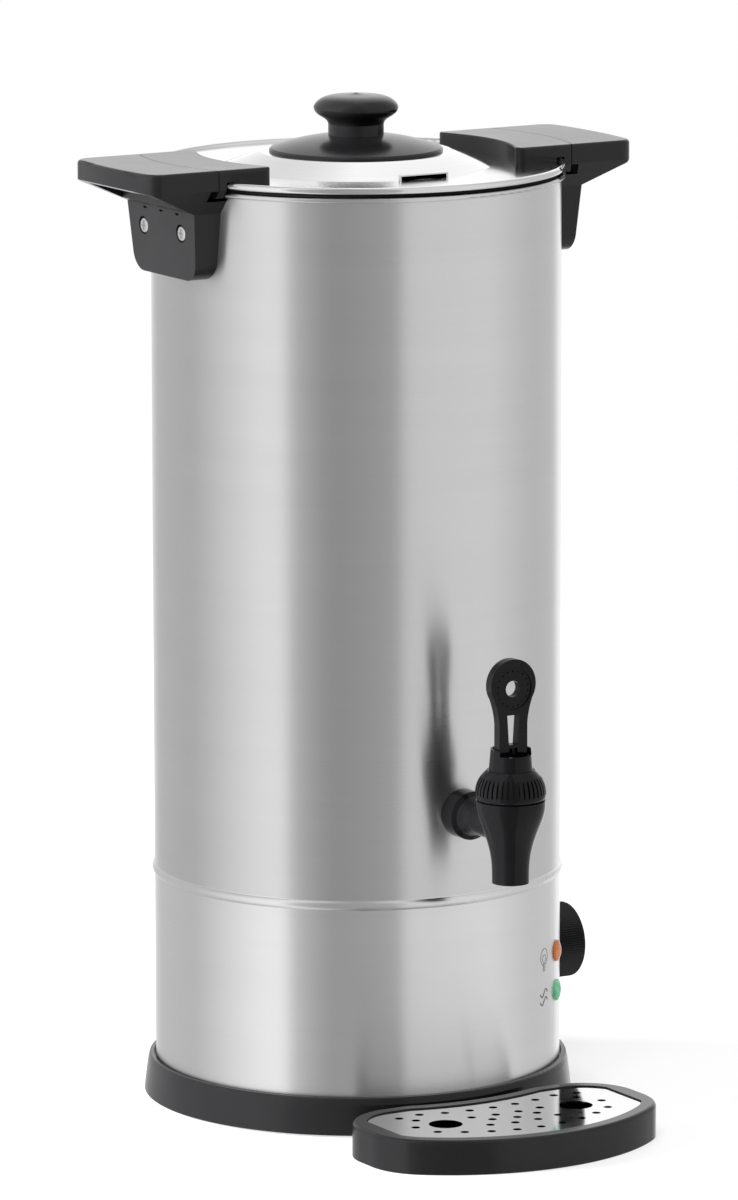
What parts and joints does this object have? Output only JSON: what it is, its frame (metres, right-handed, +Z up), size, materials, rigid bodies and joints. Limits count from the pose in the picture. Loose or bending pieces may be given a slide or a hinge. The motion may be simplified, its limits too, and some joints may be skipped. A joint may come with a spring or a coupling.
{
  "type": "countertop water boiler",
  "caption": "Tall steel countertop water boiler with a lever tap, lift-off bayonet lid, side handles, a side control knob, indicator lamps and a separate drip tray.",
  "frame": {"origin": "on the worktop, on the axis of the tank", "axes": "+Z up, -Y towards the user where the tap and the drip tray are, +X towards the control knob; the handles stand along X"},
  "size_m": [0.346, 0.372, 0.6195],
  "materials": {
    "brushed_steel": "brushed round the tank",
    "polished_steel": "polished",
    "dark_plastic": "satin, finely textured",
    "gloss_black": "gloss",
    "white_plastic": "matt",
    "rubber": "matt",
    "silicone": "satin",
    "aluminium": "cast",
    "galvanised": "galvanised",
    "fasteners": "plated",
    "orange_lens": "clear, tinted",
    "green_lens": "clear, tinted"
  },
  "bodies": {
    "urn": {"tank": "brushed_steel", "skirt": "brushed_steel", "base_ring": "dark_plastic", "base_plate": "galvanised", "base_screws": "fasteners", "rubber_feet": "rubber", "element_plate": "aluminium", "heating_element": "fasteners", "element_stud": "fasteners", "clamp_bar": "galvanised", "clamp_nut": "fasteners", "heat_cutout": "dark_plastic", "thermostat": "dark_plastic", "thermostat_screws": "fasteners", "terminal_block": "white_plastic", "cord_gland": "gloss_black", "lamp_orange": "orange_lens", "lamp_green": "green_lens", "lamp_housings": "white_plastic", "dial_bezel": "dark_plastic", "handle_right": "dark_plastic", "handle_left": "dark_plastic", "handle_screws": "fasteners", "handle_nuts": "fasteners", "tap_body": "gloss_black", "tap_washer": "silicone", "tap_nut": "gloss_black", "tap_bonnet": "gloss_black", "tap_collar": "gloss_black", "lever_pin": "fasteners", "tap_spring": "fasteners"},
    "lid_ring": {"lid_seal": "rubber"},
    "lid": {"lid_pan": "polished_steel", "lid_tab_right": "dark_plastic", "lid_tab_left": "dark_plastic", "lid_tab_screws": "fasteners", "lid_disc": "dark_plastic", "lid_knob": "dark_plastic", "lid_knob_screw": "fasteners"},
    "control": {"control_knob": "dark_plastic", "control_shaft": "fasteners"},
    "lever": {"tap_lever": "gloss_black"},
    "stem": {"tap_stem": "gloss_black", "seat_cup": "silicone"},
    "tray": {"drip_tray": "dark_plastic"},
    "plate": {"drip_plate": "polished_steel"}
  },
  "joints": [
    {"name": "lid_lift", "type": "slide", "parent": "urn", "child": "lid_ring", "axis": [0, 0, 1], "range_m": [0, 0.15]},
    {"name": "lid_turn", "type": "hinge", "parent": "lid_ring", "child": "lid", "pos_m": [0, 0, 0.58], "axis": [0, 0, 1], "range_deg": [0, 28]},
    {"name": "control_turn", "type": "hinge", "parent": "urn", "child": "control", "pos_m": [0.14, 0, 0.076], "axis": [1, 0, 0], "range_deg": [-290, 0]},
    {"name": "lever_tilt", "type": "hinge", "parent": "urn", "child": "lever", "pos_m": [0, -0.18, 0.238], "axis": [1, 0, 0], "range_deg": [0, 25]},
    {"name": "stem_lift", "type": "slide", "parent": "urn", "child": "stem", "axis": [0, 0, 1], "range_m": [0, 0.003], "stiffness_N_per_m": 10, "springref_m": -0.004, "deforming": ["tap_spring"]},
    {"name": "tray_slide", "type": "slide", "parent": "urn", "child": "tray", "axis": [0, -1, 0], "range_m": [0, 0.2]},
    {"name": "plate_lift", "type": "slide", "parent": "tray", "child": "plate", "axis": [0, 0, 1], "range_m": [0, 0.06]}
  ],
  "couplings": [
    {"joint": "stem_lift", "follows": "lever_tilt", "m_per_rad": 0.00687}
  ]
}
